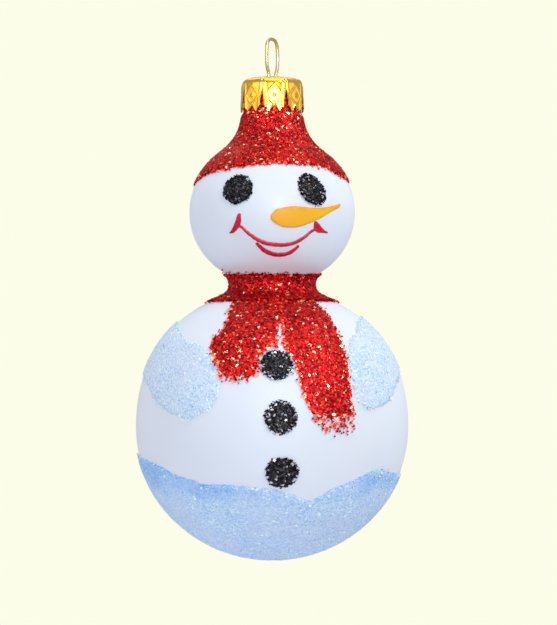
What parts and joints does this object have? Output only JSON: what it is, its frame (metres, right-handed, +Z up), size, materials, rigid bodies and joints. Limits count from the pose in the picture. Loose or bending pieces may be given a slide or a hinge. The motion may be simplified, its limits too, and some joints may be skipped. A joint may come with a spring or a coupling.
{
  "type": "snowman tree ornament",
  "caption": "Hollow blown-glass snowman ornament with raised glitter hat, scarf, buttons and snow, a stamped metal cap on its neck and a wire hanging loop.",
  "frame": {"origin": "hanging point: the inside of the top of the wire loop, on the figure's axis", "axes": "+Z up along the figure's axis, the face looks along -Y, +X is the viewer's right"},
  "size_m": [0.06, 0.0606, 0.1153],
  "materials": {
    "white_lacquered_glass": "opaque satin white lacquer over blown glass",
    "gold_cap": "bright gold-coloured stamped sheet",
    "gold_wire": "gold-tinted drawn wire",
    "red_glitter": "coarse red flake glitter in clear glue",
    "black_glitter": "black flake glitter in clear glue",
    "iridescent_glitter": "fine pale blue iridescent glitter in clear glue",
    "orange_enamel": "satin orange enamel, brushed on thick",
    "red_enamel": "glossy red enamel brush strokes"
  },
  "bodies": {
    "hanger": {"hanger_wire": "gold_wire"},
    "cap": {"ornament_cap": "gold_cap"},
    "figure": {"glass_body": "white_lacquered_glass", "hat_glitter": "red_glitter", "scarf_collar": "red_glitter", "scarf_tail_short": "red_glitter", "scarf_tail_long": "red_glitter", "eye_left": "black_glitter", "eye_right": "black_glitter", "button_top": "black_glitter", "button_middle": "black_glitter", "button_bottom": "black_glitter", "nose": "orange_enamel", "mouth_smile": "red_enamel", "mouth_lower_lip": "red_enamel", "mouth_corner_left": "red_enamel", "mouth_corner_right": "red_enamel", "mitten_left": "iridescent_glitter", "mitten_right": "iridescent_glitter", "snow_base": "iridescent_glitter"}
  },
  "joints": [
    {"name": "hanger_swing", "type": "hinge", "parent": "hanger", "child": "cap", "pos_m": [0, 0, -0.008], "axis": [0.4384, 0.8988, 0], "range_deg": [-12, 12]},
    {"name": "cap_pull_off", "type": "slide", "parent": "cap", "child": "figure", "axis": [0, 0, -1], "range_m": [0, 0.025]}
  ]
}
